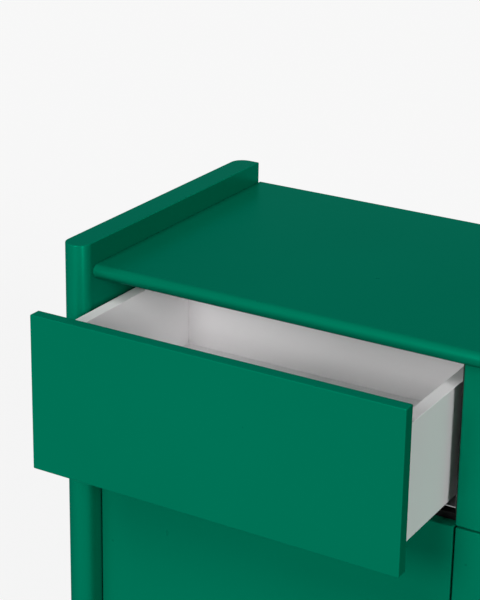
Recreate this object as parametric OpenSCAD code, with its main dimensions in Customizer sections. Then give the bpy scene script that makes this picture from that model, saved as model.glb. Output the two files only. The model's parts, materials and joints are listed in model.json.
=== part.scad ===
// Sideboard: two columns of push-to-open drawers hang between two thick end panels that reach
// the floor. The top and the end panels have full half-round front edges. The upper left drawer
// stands part open, and each drawer runs on a pair of full-extension runners under its bottom.
// X runs from left to right, Y from front to back and Z up from the floor.

/* [Overall] */
// Clear width between the two end panels
inner_w = 960; // [760:10:1400]
// Height of the top's upper surface above the floor
top_z = 700; // [620:5:900]
// Thickness of the top
top_t = 18; // [16:1:30]
// Distance from the drawer fronts' faces forward to the top's front edge
top_nose = 11; // [9:1:20]
// Distance from the drawer fronts' faces back to the top's back edge
top_back = 387; // [360:1:520]

/* [End panels] */
// Thickness of an end panel
end_t = 34; // [28:1:44]
// Height of an end panel above the top
end_rise = 28; // [10:1:60]
// Distance from the drawer fronts' faces forward to an end panel's front edge
end_nose = 30; // [22:1:50]
// Distance from an end panel's back face to the top's back edge
end_inset = 3; // [0:1:10]
// Radius of an end panel's outer back corner
end_corner_r = 18; // [4:1:22]
// Radius of an end panel's inner back corner
end_inner_r = 2; // [1:0.5:4]

/* [Drawer fronts] */
// Thickness of a drawer front
front_t = 16; // [15:1:22]
// Radius of a front's four corners, seen from before it
front_corner_r = 1.5; // [0.5:0.25:4]
// Gap between two fronts, and between a front and an end panel
reveal = 2.5; // [2:0.5:4]
// Gap between the top and the fronts below it
top_gap = 2; // [1.5:0.5:4]
// Gap behind the fronts that a push takes up before the latch lets go
push_gap = 3; // [2.5:0.5:5]
// Height of an upper front
upper_front_h = 194; // [150:1:230]
// Clear height under the lower fronts
leg_h = 160; // [80:5:240]
// Distance that the upper left drawer stands open
shown_open = 138; // [0:1:240]

/* [Carcass] */
// Thickness of the divider and the mid rails
board_t = 16; // [15:1:22]
// Depth of a mid rail from front to back
rail_w = 80; // [70:5:140]
// Thickness of the bottom panel
bottom_t = 18; // [16:1:22]
// Thickness of the back panel
back_t = 8; // [5:1:10]
// Distance from the back panel's rear face to the end panels' back faces
back_inset = 14; // [10:1:30]
// Depth of the grooves that hold the back panel
back_groove = 8; // [5:1:10]

/* [Drawer boxes] */
// Thickness of a box's sides and back
box_t = 16; // [14:1:19]
// Thickness of a box's bottom
base_t = 16; // [12:1:18]
// Gap between a box and the wall beside it
box_gap = 5; // [4.5:0.5:8]
// Distance from a front's top edge down to its box's top edge
box_drop = 34; // [20:1:60]
// Height of a box's bottom above the lower edges of its sides
box_recess = 17; // [14:1:18]
// Thickness of the tongues that hold the bottom and the back in the sides
tongue_t = 8; // [5:1:9]
// Depth of the grooves for those tongues
tongue_w = 8; // [5:1:9]

/* [Runners] */
// Thickness of the runners' sheet steel
sheet_t = 1.2; // [1:0.1:1.5]
// Width of a cabinet member's channel
channel_w = 24; // [22:1:28]
// Height of a cabinet member's channel
channel_h = 10; // [9:0.5:12]
// Distance that a cabinet member reaches below the box sides' lower edges
runner_drop = 12; // [11:0.5:16]
// Gap between a cabinet member and the board under it
runner_clear = 5; // [1:0.5:8]
// Length of a glide shoe
shoe_l = 30; // [20:1:36]
// Running clearance of a glide shoe
play = 0.3; // [0.2:0.05:0.5]

/* [Fasteners] */
// Radius of a cam
cam_r = 7.5; // [6:0.5:7.5]
// Height of a cam
cam_h = 12; // [10:0.5:12.5]
// Distance from a board's end to the centre of a cam
cam_back = 24; // [20:1:34]
// Radius of a cam bolt's shank
bolt_r = 3; // [2.5:0.25:3.5]
// Length of a cam bolt's thread
thread_l = 11; // [8:0.5:12]
// Radius of a wood screw's shank
screw_r = 1.5; // [1.25:0.25:2]
// Radius of a wood screw's head
screw_head_r = 3.2; // [3:0.1:4]
// Radius of a floor glide
glide_r = 12; // [8:1:13]
// Height of a floor glide
glide_h = 3; // [2:0.5:6]

/* [Hidden] */
$fn = 96;

// Clearance of a piece that sits in a groove or a bore, and depth of a cut's overrun
fit = 0.1;
over = 1;

left = 0;
right = 1;
lower = 0;
upper = 1;
COLUMNS = [left, right];
ROWS = [lower, upper];
DRAWER_PARTS = [
  "front", "box_left_side", "box_right_side", "box_back", "box_bottom", "front_fittings",
  "front_clips", "drawer_members", "middle_members", "glide_shoes", "cabinet_members"
];
CARCASS_PARTS = [
  "left_end_panel", "right_end_panel", "top", "bottom_panel", "divider", "left_mid_rail",
  "right_mid_rail", "back_panel", "floor_glides", "cams", "cam_bolts", "back_screws",
  "runner_screws", "push_openers"
];
function place_name(i, r) = str(r == upper ? "upper_" : "lower_", i == left ? "left_" : "right_");

// Widths and the middles of the columns
half_w = inner_w / 2;
wall_w = half_w - board_t / 2;
front_w = half_w - 1.5 * reveal;
box_half_w = wall_w / 2 - box_gap;
function side_of(i) = i == left ? -1 : 1;
function column_x(i) = side_of(i) * (board_t + wall_w) / 2;
function front_x(i) = side_of(i) * (reveal + front_w) / 2;

// Heights. A mid rail and the bottom panel close the gaps under the fronts from behind
rail_lap = 4;
bottom_lap = 2;
top_under = top_z - top_t;
upper_front_z = top_under - top_gap - upper_front_h;
lower_front_h = upper_front_z - reveal - leg_h;
rail_top = upper_front_z + rail_lap;
rail_z = rail_top - board_t;
bottom_z = leg_h + bottom_lap;
bottom_top = bottom_z + bottom_t;
function front_z(r) = r == upper ? upper_front_z : leg_h;
function front_h(r) = r == upper ? upper_front_h : lower_front_h;
function box_z(r) = (r == upper ? rail_top : bottom_top) + runner_clear + runner_drop;
function box_h(r) = front_z(r) + front_h(r) - box_drop - box_z(r);

// Depths, measured back from the drawer fronts' faces
end_back = top_back - end_inset;
back_rear = end_back - back_inset;
back_face = back_rear - back_t;
carcass_y = front_t + push_gap;
front_most = max(end_nose, top_nose, shown_open);
face_y = (front_most - top_back) / 2;
function open_by(i, r) = i == left && r == upper ? shown_open : 0;

// A runner has the longest stock length that leaves room behind the box
stock_lengths = [250, 270, 300, 350, 400, 450];
rear_clear = 20;
box_extra = 10;
room = back_face - rear_clear - front_t - box_extra;
runner_l = max([for (l = stock_lengths) if (l <= room) l]);
box_l = runner_l + box_extra;
box_end = front_t + box_l;
runner_inset = 3;
middle_inset = 2;
middle_short = 8;
runner_y = carcass_y + runner_inset;
middle_l = runner_l - middle_short;
middle_y = runner_y + middle_inset;

// Runner section: distances from the channel's middle line, and heights above the box sides'
// lower edges
channel_gap = 2;
channel_x = wall_w / 2 - box_gap - box_t - channel_gap - channel_w / 2;
shoe_wall = 2;
shoe_half = channel_w / 2 - sheet_t - play;
flange_half = shoe_half - shoe_wall;
lip_lap = 0.5;
lip_edge = flange_half - lip_lap;
web_gap = 2.8;
web_half = lip_edge - web_gap;
channel_z = -runner_drop;
channel_top = channel_z + channel_h;
low_flange_z = channel_z + sheet_t + play + shoe_wall;
cap_h = 11.5;
cap_z = box_recess - cap_h;
cap_extra = 0.5;
cap_half = shoe_half + play + sheet_t + cap_extra;
high_flange_z = cap_z + sheet_t + 2 * play + shoe_wall;
mount_flange_top = 20;
mount_screw_z = 10;
screw_l = 8;
screw_head_h = 1.8;
screw_inset = 18;
screw_rows = [screw_inset, runner_l / 2, runner_l - screw_inset];
slot_r = 2.2;
slot_l = 8;
slot_inset = 60;
slot_rows = [slot_inset, runner_l - slot_inset];
shoe_gap = 12;
shoe_step = runner_l / 2 - shoe_l - shoe_gap;

// Cam fittings. A site is the cam's centre on the board's surface, the direction into the
// board, the direction to the joined board, and the depth of the bolt's axis
thread_r = bolt_r - 0.5;
bolt_head_r = bolt_r + 0.8;
bolt_head_l = 2.4;
bolt_room = 0.4;
front_cam_low = 19;
front_cam_high = 30;
front_cam_in = 70;
rear_cam_in = 90;
rail_cam_in = [25, 50];
cam_rows = [carcass_y + front_cam_in, back_face - rear_cam_in];
top_sites = [for (s = [-1, 1], y = cam_rows)
  [[s * (half_w - cam_back), y, top_under], [0, 0, 1], [s, 0, 0], top_t / 2]];
bottom_sites = [for (s = [-1, 1], y = cam_rows)
  [[s * (half_w - cam_back), y, bottom_z], [0, 0, 1], [s, 0, 0], bottom_t / 2]];
divider_sites = [for (s = [-1, 1], y = cam_rows)
  [[-board_t / 2, y, s > 0 ? top_under - cam_back : bottom_top + cam_back],
    [1, 0, 0], [0, 0, s], board_t / 2]];
function rail_sites(i) = [for (s = [-1, 1])
  [[column_x(i) + s * (wall_w / 2 - cam_back), carcass_y + rail_cam_in[i], rail_z],
    [0, 0, 1], [s, 0, 0], board_t / 2]];
function front_sites(r) = [
  for (s = [-1, 1], z = [box_recess + base_t + front_cam_low, box_h(r) - front_cam_high])
    [[s * (box_half_w - box_t), front_t + cam_back, z], [s, 0, 0], [0, -1, 0], box_t / 2]];
carcass_sites = concat(top_sites, bottom_sites, divider_sites, rail_sites(left),
  rail_sites(right));

// Back panel screws, as [x, z] on its rear face
back_screw_l = 30;
back_screw_cone = 2.4;
screw_end_gap = 60;
back_screw_sites = concat(
  [for (k = [0 : 3]) [0, bottom_top + screw_end_gap
    + k * (top_under - bottom_top - 2 * screw_end_gap) / 3]],
  [for (k = [0 : 5]) [-half_w + screw_end_gap + k * (inner_w - 2 * screw_end_gap) / 5,
    bottom_z + bottom_t / 2]]);

// Floor glides, as [x, y]
glide_pin_r = 4;
glide_pin_l = 20;
glide_edge = 1;
front_glide_in = 8;
rear_glide_in = 40;
glide_sites = [for (s = [-1, 1], y = [end_t / 2 - end_nose + front_glide_in,
    end_back - rear_glide_in])
  [s * (half_w + end_t / 2), y]];

green = "#04785A";
box_grey = "#BEBEBE";
carcass_black = "#232323";
steel_grey = "#A9ABAD";
cam_grey = "#8F9194";
plastic_grey = "#6E7174";
nylon_white = "#D8D8D2";
glide_black = "#2B2B2B";

// Sets the drawing's Y zero on the faces of the closed drawer fronts
module at_face() {
  translate([0, face_y, 0]) children();
}

// Sets the origin on the middle of a box at the fronts' faces and its sides' lower edges.
// A share of 1 moves with the drawer, and a half moves with the middle members
module at_drawer(i, r, share) {
  translate([column_x(i), face_y - share * open_by(i, r), box_z(r)]) children();
}

module both_sides() {
  for (s = [0, 1]) mirror([s, 0, 0]) children();
}

// Turns an upright piece to lie along a direction
module aim(d) {
  rotate([0, acos(d.z), atan2(d.y, d.x)]) children();
}

// Extrudes a section drawn in X and Z along Y
module run(y, l) {
  translate([0, y + l, 0]) rotate([90, 0, 0]) linear_extrude(l) children();
}

// A rectangle of a runner's section, about the channel's middle line
module strip(x0, x1, z0, z1) {
  translate([x0, z0]) square([x1 - x0, z1 - z0]);
}

module mirrored_strip(x0, x1, z0, z1) {
  strip(x0, x1, z0, z1);
  strip(-x1, -x0, z0, z1);
}

module cam_bores(sites) {
  for (s = sites)
    translate(s[0]) aim(s[1]) translate([0, 0, -over]) cylinder(r = cam_r + fit, h = cam_h + over);
}

module bolt_bores(sites) {
  for (s = sites)
    translate(s[0] + s[1] * s[3]) aim(s[2]) cylinder(r = bolt_head_r + fit, h = cam_back + over);
}

module thread_bores(sites) {
  for (s = sites)
    translate(s[0] + s[1] * s[3] + s[2] * (cam_back - over)) aim(s[2])
      cylinder(r = thread_r + fit, h = thread_l + 2 * over);
}

// A cam is a drum with a cross slot in its face and a pocket that grips the bolt's head
module cam(s) {
  slot_w = 1.6;
  slot_h = 2;
  translate(s[0]) difference() {
    aim(s[1]) difference() {
      cylinder(r = cam_r, h = cam_h);
      for (a = [0, 90])
        rotate([0, 0, a]) translate([-cam_r / 2, -slot_w / 2, -over])
          cube([cam_r, slot_w, slot_h + over]);
    }
    translate(s[1] * s[3]) aim(s[2]) translate([0, 0, -cam_r / 2])
      cylinder(r = bolt_head_r + bolt_room, h = 2 * cam_r);
  }
}

module cam_bolt(s) {
  translate(s[0] + s[1] * s[3]) aim(s[2]) {
    cylinder(r = bolt_head_r, h = bolt_head_l);
    cylinder(r = bolt_r, h = cam_back);
    cylinder(r = thread_r, h = cam_back + thread_l);
  }
}

// Outline of an end panel seen from above, with its outer face on X zero
module end_outline() {
  nose_r = end_t / 2;
  nose_y = nose_r - end_nose;
  corner_y = end_back - end_corner_r;
  translate([nose_r, nose_y]) circle(nose_r);
  translate([0, nose_y]) square([end_t, corner_y - nose_y]);
  translate([end_t - end_inner_r, end_back - end_inner_r]) circle(end_inner_r);
  translate([end_corner_r, corner_y]) {
    square([end_t - end_corner_r, end_corner_r - end_inner_r]);
    square([end_t - end_corner_r - end_inner_r, end_corner_r]);
    intersection() {
      circle(end_corner_r);
      translate([-end_corner_r, 0]) square(end_corner_r);
    }
  }
}

module end_panel(i) {
  s = side_of(i);
  color(green) at_face() difference() {
    translate([s * (half_w + end_t), 0, glide_h]) mirror([i, 0, 0])
      linear_extrude(top_z + end_rise - glide_h) end_outline();
    translate([s * half_w - back_groove, back_face - fit, bottom_z])
      cube([2 * back_groove, back_t + 2 * fit, top_under + back_groove - bottom_z]);
    thread_bores([for (c = carcass_sites) if (c[2].x == s && c[0].x * s > wall_w / 2) c]);
    for (g = glide_sites)
      translate([g.x, g.y, 0]) cylinder(r = glide_pin_r + fit, h = glide_h + glide_pin_l + over);
    runner_screw_bores(i);
  }
}

module top_board() {
  nose_r = top_t / 2;
  nose_y = nose_r - top_nose;
  color(green) at_face() difference() {
    translate([-half_w, 0, 0]) rotate([90, 0, 90]) linear_extrude(inner_w) {
      translate([nose_y, top_z - nose_r]) circle(nose_r);
      translate([nose_y, top_under]) square([top_back - nose_y, top_t]);
    }
    translate([-half_w - over, back_face - fit, top_under - over])
      cube([inner_w + 2 * over, back_t + 2 * fit, back_groove + over]);
    cam_bores(top_sites);
    bolt_bores(top_sites);
    thread_bores([for (c = divider_sites) if (c[2].z > 0) c]);
  }
}

module bottom_panel() {
  color(carcass_black) at_face() difference() {
    translate([-half_w, carcass_y, bottom_z])
      cube([inner_w, back_face - carcass_y, bottom_t]);
    cam_bores(bottom_sites);
    bolt_bores(bottom_sites);
    thread_bores([for (c = divider_sites) if (c[2].z < 0) c]);
    back_screw_bores(back_screw_l);
  }
}

module divider() {
  color(carcass_black) at_face() difference() {
    translate([-board_t / 2, carcass_y, bottom_top])
      cube([board_t, back_face - carcass_y, top_under - bottom_top]);
    cam_bores(divider_sites);
    bolt_bores(divider_sites);
    for (i = COLUMNS)
      thread_bores([for (c = rail_sites(i)) if (c[2].x == -side_of(i)) c]);
    back_screw_bores(back_screw_l);
    for (i = COLUMNS) runner_screw_bores(i);
  }
}

module mid_rail(i) {
  color(carcass_black) at_face() difference() {
    translate([column_x(i) - wall_w / 2, carcass_y, rail_z]) cube([wall_w, rail_w, board_t]);
    cam_bores(rail_sites(i));
    bolt_bores(rail_sites(i));
  }
}

module back_panel() {
  groove_gap = 0.5;
  half_l = half_w + back_groove - groove_gap;
  color(carcass_black) at_face() difference() {
    translate([-half_l, back_face, bottom_z])
      cube([2 * half_l, back_t, top_under + back_groove - groove_gap - bottom_z]);
    back_screw_bores(0);
    for (p = back_screw_sites)
      translate([p.x, back_rear - back_screw_cone, p.y]) rotate([-90, 0, 0])
        cylinder(r1 = screw_r + fit, r2 = screw_head_r + fit, h = back_screw_cone + fit);
  }
}

// Bores for the back panel's screws: through the panel, and a length into the boards before it
module back_screw_bores(l) {
  for (p = back_screw_sites)
    translate([p.x, back_rear + over, p.y]) rotate([90, 0, 0])
      cylinder(r = screw_r + fit, h = back_t + 2 * over + l);
}

module back_screws() {
  color(steel_grey) at_face()
    for (p = back_screw_sites)
      translate([p.x, back_rear, p.y]) rotate([90, 0, 0]) {
        cylinder(r1 = screw_head_r, r2 = screw_r, h = back_screw_cone);
        cylinder(r = screw_r, h = back_screw_l);
      }
}

module floor_glides() {
  color(glide_black) at_face()
    for (g = glide_sites)
      translate([g.x, g.y, 0]) rotate_extrude()
        polygon([[0, 0], [glide_r - glide_edge, 0], [glide_r, glide_edge], [glide_r, glide_h],
          [glide_pin_r, glide_h], [glide_pin_r, glide_h + glide_pin_l - glide_edge],
          [glide_pin_r - glide_edge, glide_h + glide_pin_l], [0, glide_h + glide_pin_l]]);
}

module cams() {
  color(cam_grey) at_face() for (s = carcass_sites) cam(s);
}

module cam_bolts() {
  color(steel_grey) at_face() for (s = carcass_sites) cam_bolt(s);
}

// Bores in the walls of a column for the screws of its cabinet members
module runner_screw_bores(i) {
  for (r = ROWS, y = screw_rows)
    translate([column_x(i), runner_y + y, box_z(r) + mount_screw_z]) rotate([0, 90, 0])
      cylinder(r = screw_r + fit / 2, h = wall_w + 2 * screw_l, center = true);
}

module runner_screws() {
  color(steel_grey) at_face()
    for (i = COLUMNS, r = ROWS, y = screw_rows)
      translate([column_x(i), runner_y + y, box_z(r) + mount_screw_z]) both_sides()
        translate([wall_w / 2 - sheet_t, 0, 0]) rotate([0, 90, 0]) {
          cylinder(r = screw_r, h = screw_l);
          translate([0, 0, -screw_head_h])
            cylinder(r1 = screw_head_r - 1, r2 = screw_head_r, h = screw_head_h);
        }
}

// A push opener is a closed housing on the inner flank of each cabinet member's channel
module push_openers() {
  l = 90;
  w = 20;
  rise = cap_z - play - channel_z - sheet_t;
  nose = 22;
  rib_gap = 12;
  color(plastic_grey) for (i = COLUMNS, r = ROWS)
    at_drawer(i, r, 0) both_sides()
      translate([channel_x - channel_w / 2, runner_y + runner_l - l, channel_z + sheet_t + play])
        mirror([1, 0, 0]) difference() {
          rotate([90, 0, 90]) linear_extrude(w)
            polygon([[0, 0], [l, 0], [l, rise - play], [nose, rise - play], [0, rise / 2]]);
          for (k = [0 : 4])
            translate([w / 4, nose + (k + 0.5) * rib_gap, rise - 1 - play])
              cube([w / 2, rib_gap / 3, 1 + over]);
        }
}

// Outline of a front seen from before it, with its lower left corner on zero
module front_outline(h) {
  c = front_corner_r;
  translate([c, 0]) square([front_w - 2 * c, h]);
  translate([0, c]) square([front_w, h - 2 * c]);
  for (x = [c, front_w - c], z = [c, h - c]) translate([x, z]) circle(c);
}

module drawer_front(i, r) {
  color(green) at_drawer(i, r, 1) difference() {
    translate([front_x(i) - column_x(i) - front_w / 2, 0, front_z(r) - box_z(r)])
      run(0, front_t) front_outline(front_h(r));
    thread_bores(front_sites(r));
  }
}

module box_side(i, r, s) {
  color(box_grey) at_drawer(i, r, 1) mirror([s > 0 ? 0 : 1, 0, 0]) difference() {
    translate([box_half_w - box_t, front_t, 0]) cube([box_t, box_l, box_h(r)]);
    translate([box_half_w - box_t - over, front_t - over, base_tongue_z() - fit])
      cube([tongue_w + over, box_l - box_t + over, tongue_t + 2 * fit]);
    translate([box_half_w - box_t - over, back_tongue_y() - fit, box_recess])
      cube([tongue_w + over, tongue_t + 2 * fit, box_h(r)]);
    cam_bores(front_sites(r));
    bolt_bores(front_sites(r));
  }
}

function base_tongue_z() = box_recess + (base_t - tongue_t) / 2;
function back_tongue_y() = box_end - box_t + (box_t - tongue_t) / 2;

module box_back(i, r) {
  pin_hole_l = 10;
  half_in = box_half_w - box_t;
  half_l = half_in + tongue_w - 2 * fit;
  color(box_grey) at_drawer(i, r, 1) difference() {
    union() {
      translate([-half_in, box_end - box_t, box_recess])
        cube([2 * half_in, box_t, box_h(r) - box_recess]);
      translate([-half_l, back_tongue_y(), box_recess])
        cube([2 * half_l, tongue_t, box_h(r) - box_recess]);
    }
    both_sides() translate([channel_x, box_end + over, hook_z]) rotate([90, 0, 0])
      cylinder(r = hook_r + 2 * fit, h = pin_hole_l + over);
  }
}

module box_bottom(i, r) {
  half_in = box_half_w - box_t;
  half_l = half_in + tongue_w - 2 * fit;
  color(box_grey) at_drawer(i, r, 1) {
    translate([-half_in, front_t, box_recess]) cube([2 * half_in, box_l - box_t, base_t]);
    translate([-half_l, front_t, base_tongue_z()]) cube([2 * half_l, box_l - box_t, tongue_t]);
  }
}

module front_fittings(i, r) {
  color(cam_grey) at_drawer(i, r, 1)
    for (s = front_sites(r)) {
      cam(s);
      cam_bolt(s);
    }
}

// A clip under each front corner of the bottom locks the drawer member to the box
module front_clips(i, r) {
  l = 58;
  w = 26;
  h = 12;
  lever = 18;
  color(plastic_grey) at_drawer(i, r, 1) both_sides()
    translate([channel_x - cap_half - play - w, front_t + 2, box_recess - h]) difference() {
      rotate([90, 0, 90]) linear_extrude(w)
        polygon([[0, h / 3], [lever, 0], [l, 0], [l, h], [0, h]]);
      translate([w / 4, lever + 6, -over]) cube([w / 2, lever, h / 2 + over]);
    }
}

hook_r = 2.5;
hook_z = box_recess + 9;
hook_w = 14;
hook_h = 18;
hook_l = 8;

// The cap that the bottom rests on, with the hook that holds the box's back
module drawer_members(i, r) {
  cap_y = front_t + 3;
  color(steel_grey) at_drawer(i, r, 1) both_sides() translate([channel_x, 0, 0]) {
    run(cap_y, box_end + sheet_t - cap_y) {
      strip(-cap_half, cap_half, box_recess - sheet_t, box_recess);
      mirrored_strip(cap_half - sheet_t, cap_half, cap_z, box_recess);
      mirrored_strip(lip_edge, cap_half, cap_z, cap_z + sheet_t);
    }
    translate([-hook_w / 2, box_end, box_recess - sheet_t])
      cube([hook_w, sheet_t, hook_h + sheet_t]);
    translate([0, box_end + sheet_t, hook_z]) rotate([90, 0, 0])
      cylinder(r = hook_r, h = hook_l + sheet_t);
  }
}

// Section of a middle member: a lower and an upper flange on two webs
module middle_section() {
  strip(-flange_half, flange_half, low_flange_z, low_flange_z + sheet_t);
  strip(-flange_half, flange_half, high_flange_z, high_flange_z + sheet_t);
  mirrored_strip(web_half - sheet_t, web_half, low_flange_z, high_flange_z + sheet_t);
}

module middle_members(i, r) {
  color(steel_grey) at_drawer(i, r, 0.5) both_sides() translate([channel_x, 0, 0])
    run(middle_y, middle_l) middle_section();
}

// Shoes wrap the lower flange at the rear, and the upper flange at the front
module glide_shoes(i, r) {
  low_z = channel_z + sheet_t + play;
  low_top = channel_top - sheet_t - play;
  high_z = cap_z + sheet_t + play;
  high_top = box_recess - sheet_t - play;
  color(nylon_white) at_drawer(i, r, 0.5) both_sides() translate([channel_x, 0, 0])
    for (k = [0, 1]) {
      run(middle_y + middle_l - shoe_l - k * shoe_step, shoe_l) difference() {
        strip(-shoe_half, shoe_half, low_z, low_top);
        strip(-flange_half, flange_half, low_flange_z, low_flange_z + sheet_t);
        strip(-web_half, web_half, low_flange_z, channel_top);
      }
      run(middle_y + k * shoe_step, shoe_l) difference() {
        strip(-shoe_half, shoe_half, high_z, high_top);
        strip(-flange_half, flange_half, high_flange_z, high_flange_z + sheet_t);
        strip(-web_half, web_half, cap_z, high_flange_z + sheet_t);
      }
    }
}

// The fixed channel, with a foot that runs under the box side to a flange on the wall. The flange
// has holes for its screws and slots for setting the height
module cabinet_members(i, r) {
  wall = wall_w / 2 - channel_x;
  color(steel_grey) at_drawer(i, r, 0) both_sides() difference() {
    translate([channel_x, 0, 0]) run(runner_y, runner_l) {
      strip(-channel_w / 2, wall, channel_z, channel_z + sheet_t);
      mirrored_strip(channel_w / 2 - sheet_t, channel_w / 2, channel_z, channel_top);
      mirrored_strip(lip_edge, channel_w / 2, channel_top - sheet_t, channel_top);
      strip(wall - sheet_t, wall, channel_z, mount_flange_top);
    }
    translate([wall_w / 2 - sheet_t - over, runner_y, mount_screw_z]) {
      for (y = screw_rows)
        translate([0, y, 0]) rotate([0, 90, 0]) cylinder(r = screw_r + play, h = sheet_t + 2 * over);
      for (y = slot_rows) {
        translate([0, y - slot_l / 2, -slot_r]) cube([sheet_t + 2 * over, slot_l, 2 * slot_r]);
        for (e = [-1, 1])
          translate([0, y + e * slot_l / 2, 0]) rotate([0, 90, 0])
            cylinder(r = slot_r, h = sheet_t + 2 * over);
      }
    }
  }
}

end_panel(left);  // left_end_panel
end_panel(right);  // right_end_panel
top_board();  // top
bottom_panel();
divider();
mid_rail(left);  // left_mid_rail
mid_rail(right);  // right_mid_rail
back_panel();
floor_glides();
cams();
cam_bolts();
back_screws();
runner_screws();
push_openers();
for (i = COLUMNS, r = ROWS) {
  name = place_name(i, r);
  drawer_front(i, r);
  box_side(i, r, -1);
  box_side(i, r, 1);
  box_back(i, r);
  box_bottom(i, r);
  front_fittings(i, r);
  front_clips(i, r);
  drawer_members(i, r);
  middle_members(i, r);
  glide_shoes(i, r);
  cabinet_members(i, r);
}
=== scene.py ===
"""Green lacquered sideboard: looks, light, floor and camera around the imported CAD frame.

Lengths are in metres, colours are linear RGB, and azimuths run from the front towards the right.
"""
import json
import math

import bpy
from mathutils import Matrix, Vector

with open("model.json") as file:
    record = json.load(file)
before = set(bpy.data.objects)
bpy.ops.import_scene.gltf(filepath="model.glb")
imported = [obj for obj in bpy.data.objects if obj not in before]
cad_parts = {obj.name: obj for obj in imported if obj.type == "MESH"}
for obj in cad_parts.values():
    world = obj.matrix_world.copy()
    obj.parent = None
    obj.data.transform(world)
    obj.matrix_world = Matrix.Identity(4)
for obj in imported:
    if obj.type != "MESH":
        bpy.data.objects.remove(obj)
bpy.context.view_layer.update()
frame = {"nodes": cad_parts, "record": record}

# Camera: angles in radians, focal length in pixels of the 480 x 600 picture
CAMERA_AT = (0.7051, -1.7950, 1.4521)
YAW = 0.53394
PITCH = 0.32278
ROLL = 0.01526
FOCAL_PX = 1811.8
SHIFT_Y = -0.15
LONG_SIDE_PX = 600
SENSOR_MM = 36.0
CLIP_END = 100.0

# Soft lamps: azimuth and elevation in degrees, strength in W/m2, spread in degrees
LAMPS = {
    "front_low": (-3, 24, 1.43, 18),
    "front_high": (-3, 50, 1.24, 24),
    "right": (60, 14, 1.38, 16),
}

# Floor and backdrop: the lift and the backdrop show only to camera, glossy and glass rays
FLOOR_SIZE = 24.0
FLOOR_GREY = 0.22
FLOOR_ROUGHNESS = 0.9
FLOOR_LIFT = 0.803
BACKDROP = 0.925
WHITE = (1, 1, 1, 1)

# Eased edges: width by material slot, and how the modifiers find and round the edges
EASE_WIDTH = {"green_lacquer": 0.0011, "box_board": 0.0005, "carcass_board": 0.0004}
EASE_SEGMENTS = 3
EASE_FROM_DEGREES = 40
WELD_GAP = 0.00001

GREEN = (0.0, 0.176, 0.0966)
GREEN_DEEP = (0.0, 0.170, 0.0925)
GREEN_LIGHT = (0.0, 0.193, 0.108)
BOX_GREY = (0.885, 0.860, 0.870)
BOX_GREY_2 = (0.872, 0.847, 0.857)
BLACK = (0.013, 0.012, 0.012)
BLACK_2 = (0.020, 0.019, 0.019)
DARK_PLASTIC = (0.15, 0.16, 0.17)
DARK_PLASTIC_2 = (0.18, 0.19, 0.20)

# Lacquer: noises are scale, detail and roughness, bumps are strength and height
LACQUER_CLOUD = (3.0, 3.0, 0.5)
LACQUER_CLOUD_SPAN = (0.35, 0.65)
LACQUER_MOTTLE = (60.0, 4.0, 0.6)
LACQUER_MOTTLE_SHARE = 0.10
LACQUER_PEEL = (520.0, 2.0, 0.5)
LACQUER_PEEL_BUMP = (0.22, 0.00006)
LACQUER_GRAIN = (2600.0, 1.0, 0.5)
LACQUER_GRAIN_BUMP = (0.10, 0.00002)
LACQUER_SATIN = (45.0, 3.0, 0.5)
LACQUER_ROUGHNESS = (0.25, 0.35)
# Share of the lacquer that mirrors, and the tint of that gloss at a grazing view
GLOSS_SHARE = 0.22
GLOSS_EDGE = (0.45, 0.65, 0.72, 1.0)
# A face whose normal points this far to the back is the one towards the box
BACK_FACING = 0.9

# Laminate on the boards of the boxes and the carcass
LAMINATE_CLOUD = (5.0, 3.0, 0.5)
LAMINATE_FLECK = (1400.0, 3.0, 0.7)
LAMINATE_FLECK_SHARE = 0.16
LAMINATE_FLECK_SHADE = 0.86
LAMINATE_PRESS = (900.0, 3.0, 0.65)
LAMINATE_PRESS_BUMP = (0.20, 0.00005)
LAMINATE_SATIN = (220.0, 2.0, 0.5)

# Metal fittings
METAL_STREAK = (1.0, 4.0, 0.6)
METAL_STREAK_BUMP = (0.15, 0.00003)
METAL_SPANGLE = (160.0, 2.0, 0.5)
METAL_SPANGLE_SHARE = 0.25
METAL_SPANGLE_SHADE = 0.8

# Plastic fittings
PLASTIC_CLOUD = (25.0, 2.0, 0.5)
PLASTIC_GRAIN = (1800.0, 2.0, 0.6)
PLASTIC_GRAIN_BUMP = (0.25, 0.00006)
PLASTIC_SPECULAR = 0.4

# Part of a noise over which laminate, metal and plastic go from their first colour to the second
BLEND_SPAN = (0.3, 0.7)


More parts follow.
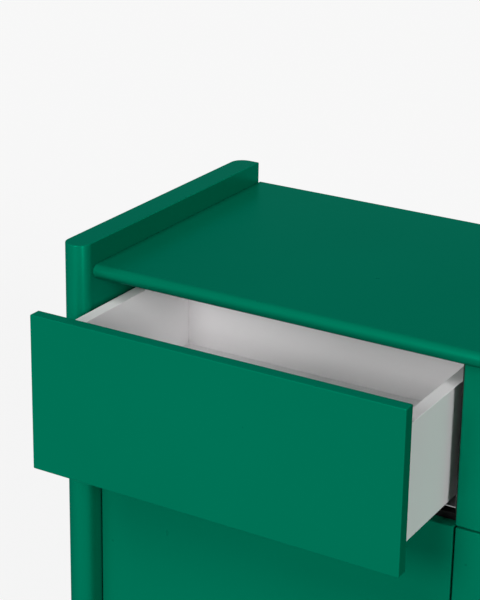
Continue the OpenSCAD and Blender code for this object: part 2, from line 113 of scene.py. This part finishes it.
# ---------------------------------------------------------------- materials
class Nodes:
    """Small helper that adds and links the shader nodes of one new material."""

    def __init__(self, name):
        self.mat = bpy.data.materials.new(name)
        self.mat.use_nodes = True
        self.tree = self.mat.node_tree
        self.bsdf = self.tree.nodes["Principled BSDF"]
        self.coord = self.add("ShaderNodeTexCoord").outputs["Object"]

    def add(self, kind, **values):
        n = self.tree.nodes.new(kind)
        for k, v in values.items():
            setattr(n, k, v)
        return n

    def link(self, a, b):
        self.tree.links.new(a, b)

    def mapped(self, scale):
        m = self.add("ShaderNodeMapping")
        m.inputs["Scale"].default_value = scale
        self.link(self.coord, m.inputs["Vector"])
        return m.outputs["Vector"]

    def noise(self, scale, detail, roughness, stretch=None):
        n = self.add("ShaderNodeTexNoise")
        n.inputs["Scale"].default_value = scale
        n.inputs["Detail"].default_value = detail
        n.inputs["Roughness"].default_value = roughness
        self.link(self.mapped(stretch) if stretch else self.coord, n.inputs["Vector"])
        return n.outputs["Fac"]

    def ramp(self, fac, span, a, b):
        r = self.add("ShaderNodeValToRGB")
        for element, position, colour in zip(r.color_ramp.elements, span, (a, b)):
            element.position = position
            element.color = (*colour, 1)
        self.link(fac, r.inputs["Fac"])
        return r.outputs["Color"]

    def range(self, fac, low, high):
        m = self.add("ShaderNodeMapRange")
        m.inputs["To Min"].default_value = low
        m.inputs["To Max"].default_value = high
        self.link(fac, m.inputs["Value"])
        return m.outputs["Result"]

    def mix(self, fac, a, colour):
        m = self.add("ShaderNodeMix", data_type="RGBA")
        self.link(fac, m.inputs["Factor"])
        self.link(a, m.inputs["A"])
        m.inputs["B"].default_value = (*colour, 1)
        return m.outputs["Result"]

    def bump(self, height, strength, distance, below=None):
        b = self.add("ShaderNodeBump")
        b.inputs["Strength"].default_value = strength
        b.inputs["Distance"].default_value = distance
        self.link(height, b.inputs["Height"])
        if below is not None:
            self.link(below, b.inputs["Normal"])
        return b.outputs["Normal"]

    def finish(self, colour, rough, normal, **sockets):
        self.link(colour, self.bsdf.inputs["Base Color"])
        self.link(rough, self.bsdf.inputs["Roughness"])
        self.link(normal, self.bsdf.inputs["Normal"])
        for k, v in sockets.items():
            self.bsdf.inputs[k.replace("_", " ")].default_value = v
        return self.mat


def shaded(colour, share):
    return tuple(v * share for v in colour)


def lacquer(name, backed=False):
    n = Nodes(name)
    base = n.ramp(n.noise(*LACQUER_CLOUD), LACQUER_CLOUD_SPAN, GREEN_DEEP, GREEN)
    mottle = n.range(n.noise(*LACQUER_MOTTLE), 0.0, LACQUER_MOTTLE_SHARE)
    colour = n.mix(mottle, base, GREEN_LIGHT)
    if backed:
        # The face towards the box is covered with the same grey laminate as the box
        way = n.add("ShaderNodeSeparateXYZ")
        n.link(n.add("ShaderNodeNewGeometry").outputs["True Normal"], way.inputs["Vector"])
        inside = n.add("ShaderNodeMath", operation="GREATER_THAN")
        inside.inputs[1].default_value = BACK_FACING
        n.link(way.outputs["Y"], inside.inputs[0])
        colour = n.mix(inside.outputs["Value"], colour, BOX_GREY)
    peel = n.bump(n.noise(*LACQUER_PEEL), *LACQUER_PEEL_BUMP)
    normal = n.bump(n.noise(*LACQUER_GRAIN), *LACQUER_GRAIN_BUMP, below=peel)
    rough = n.range(n.noise(*LACQUER_SATIN), *LACQUER_ROUGHNESS)
    return n.finish(colour, rough, normal, Metallic=GLOSS_SHARE, Specular_IOR_Level=0.0,
                    Specular_Tint=GLOSS_EDGE)


def laminate(name, a, b, roughness, specular):
    n = Nodes(name)
    base = n.ramp(n.noise(*LAMINATE_CLOUD), BLEND_SPAN, a, b)
    fleck = n.range(n.noise(*LAMINATE_FLECK), 0.0, LAMINATE_FLECK_SHARE)
    colour = n.mix(fleck, base, shaded(a, LAMINATE_FLECK_SHADE))
    normal = n.bump(n.noise(*LAMINATE_PRESS), *LAMINATE_PRESS_BUMP)
    rough = n.range(n.noise(*LAMINATE_SATIN), *roughness)
    return n.finish(colour, rough, normal, Specular_IOR_Level=specular)


def metal(name, a, b, roughness, stretch):
    n = Nodes(name)
    streak = n.noise(*METAL_STREAK, stretch)
    base = n.ramp(streak, BLEND_SPAN, a, b)
    spangle = n.range(n.noise(*METAL_SPANGLE), 0.0, METAL_SPANGLE_SHARE)
    colour = n.mix(spangle, base, shaded(a, METAL_SPANGLE_SHADE))
    normal = n.bump(streak, *METAL_STREAK_BUMP)
    return n.finish(colour, n.range(streak, *roughness), normal, Metallic=1.0)


def plastic(name, a, b, roughness):
    n = Nodes(name)
    colour = n.ramp(n.noise(*PLASTIC_CLOUD), BLEND_SPAN, a, b)
    grain = n.noise(*PLASTIC_GRAIN)
    normal = n.bump(grain, *PLASTIC_GRAIN_BUMP)
    return n.finish(colour, n.range(grain, *roughness), normal,
                    Specular_IOR_Level=PLASTIC_SPECULAR)


# What follows a name: the two colours, the span of roughness, then specular level or streak scale
MATERIALS = {
    "green_lacquer": lacquer("green_lacquer"),
    "front_lacquer": lacquer("front_lacquer", backed=True),
    "box_board": laminate("box_board", BOX_GREY, BOX_GREY_2, (0.50, 0.60), 0.2),
    "carcass_board": laminate("carcass_board", BLACK, BLACK_2, (0.45, 0.60), 0.25),
    "runner_steel": metal("runner_steel", (0.60, 0.61, 0.63), (0.70, 0.71, 0.72), (0.28, 0.45),
                          (500.0, 6.0, 500.0)),
    "cam_zinc": metal("cam_zinc", (0.48, 0.49, 0.51), (0.60, 0.61, 0.62), (0.35, 0.5),
                      (90.0, 90.0, 90.0)),
    "bolt_steel": metal("bolt_steel", (0.56, 0.58, 0.62), (0.68, 0.69, 0.71), (0.22, 0.38),
                        (300.0, 300.0, 300.0)),
    "shoe_nylon": plastic("shoe_nylon", (0.66, 0.66, 0.60), (0.72, 0.72, 0.66), (0.38, 0.5)),
    "clip_plastic": plastic("clip_plastic", DARK_PLASTIC, DARK_PLASTIC_2, (0.42, 0.55)),
    "opener_plastic": plastic("opener_plastic", DARK_PLASTIC, DARK_PLASTIC_2, (0.42, 0.55)),
    "glide_plastic": plastic("glide_plastic", (0.02, 0.02, 0.02), (0.03, 0.03, 0.03),
                             (0.45, 0.6)),
}


# ---------------------------------------------------------------- dressing the CAD nodes
def ease_edges(obj, width):
    join = obj.modifiers.new("joined_edges", "WELD")
    join.merge_threshold = WELD_GAP
    ease = obj.modifiers.new("eased_edge", "BEVEL")
    ease.width = width
    ease.segments = EASE_SEGMENTS
    ease.limit_method = "ANGLE"
    ease.angle_limit = math.radians(EASE_FROM_DEGREES)
    ease.use_clamp_overlap = False
    ease.loop_slide = False
    ease.harden_normals = True


def dress():
    slot_of = {s["node"]: s["material_slot"] for s in frame["record"]["subparts"]}
    for name, obj in frame["nodes"].items():
        slot = slot_of[name]
        # A front has the green slot too, but its face towards the box is grey
        look = "front_lacquer" if name.endswith("_front") else slot
        obj.data.materials.clear()
        obj.data.materials.append(MATERIALS[look])
        if slot in EASE_WIDTH:
            ease_edges(obj, EASE_WIDTH[slot])


# ---------------------------------------------------------------- floor, light, camera
def pale_to_view(tree, rays, strength):
    """Return a socket that is the strength for rays of the named kinds and zero for others."""
    path = tree.nodes.new("ShaderNodeLightPath")
    seen = path.outputs[rays[0]]
    for ray in rays[1:]:
        either = tree.nodes.new("ShaderNodeMath")
        either.operation = "MAXIMUM"
        tree.links.new(seen, either.inputs[0])
        tree.links.new(path.outputs[ray], either.inputs[1])
        seen = either.outputs["Value"]
    level = tree.nodes.new("ShaderNodeMath")
    level.operation = "MULTIPLY"
    level.inputs[1].default_value = strength
    tree.links.new(seen, level.inputs[0])
    return level.outputs["Value"]


def floor():
    bpy.ops.mesh.primitive_plane_add(size=FLOOR_SIZE, location=(0, 0, 0))
    obj = bpy.context.object
    obj.name = "studio_floor"
    n = Nodes("floor")
    n.bsdf.inputs["Base Color"].default_value = (FLOOR_GREY, FLOOR_GREY, FLOOR_GREY, 1)
    n.bsdf.inputs["Roughness"].default_value = FLOOR_ROUGHNESS
    n.bsdf.inputs["Specular IOR Level"].default_value = 0.0
    lift = n.add("ShaderNodeEmission")
    lift.inputs["Color"].default_value = WHITE
    rays = ("Is Camera Ray", "Is Glossy Ray")
    n.link(pale_to_view(n.tree, rays, FLOOR_LIFT), lift.inputs["Strength"])
    both = n.add("ShaderNodeAddShader")
    n.link(n.bsdf.outputs["BSDF"], both.inputs[0])
    n.link(lift.outputs["Emission"], both.inputs[1])
    n.link(both.outputs["Shader"], n.tree.nodes["Material Output"].inputs["Surface"])
    obj.data.materials.append(n.mat)


def backdrop():
    world = bpy.data.worlds.new("studio")
    bpy.context.scene.world = world
    world.use_nodes = True
    tree = world.node_tree
    background = tree.nodes["Background"]
    background.inputs["Color"].default_value = WHITE
    rays = ("Is Camera Ray", "Is Glossy Ray", "Is Transmission Ray")
    tree.links.new(pale_to_view(tree, rays, BACKDROP), background.inputs["Strength"])


def lamp(name, azimuth, elevation, strength, spread):
    data = bpy.data.lights.new(name, "SUN")
    data.energy = strength
    data.angle = math.radians(spread)
    obj = bpy.data.objects.new(name, data)
    bpy.context.collection.objects.link(obj)
    a, e = math.radians(azimuth), math.radians(elevation)
    shine = Vector((-math.sin(a) * math.cos(e), math.cos(a) * math.cos(e), -math.sin(e)))
    obj.rotation_euler = shine.to_track_quat("-Z", "Y").to_euler()


def camera():
    data = bpy.data.cameras.new("camera")
    data.sensor_width = SENSOR_MM
    data.lens = FOCAL_PX * SENSOR_MM / LONG_SIDE_PX
    data.shift_y = SHIFT_Y
    data.clip_end = CLIP_END
    obj = bpy.data.objects.new("camera", data)
    bpy.context.collection.objects.link(obj)
    # Level directions first, then pitched down, then rolled
    ahead = Vector((-math.sin(YAW), math.cos(YAW), 0))
    side = Vector((math.cos(YAW), math.sin(YAW), 0))
    up = Vector((0, 0, 1))
    look = ahead * math.cos(PITCH) - up * math.sin(PITCH)
    head = up * math.cos(PITCH) + ahead * math.sin(PITCH)
    x = side * math.cos(ROLL) + head * math.sin(ROLL)
    y = head * math.cos(ROLL) - side * math.sin(ROLL)
    m = Matrix((x, y, -look)).transposed().to_4x4()
    m.translation = Vector(CAMERA_AT)
    obj.matrix_world = m
    bpy.context.scene.camera = obj


dress()
floor()
backdrop()
for lamp_name, values in LAMPS.items():
    lamp(lamp_name, *values)
camera()

bpy.context.scene.view_settings.view_transform = "Standard"
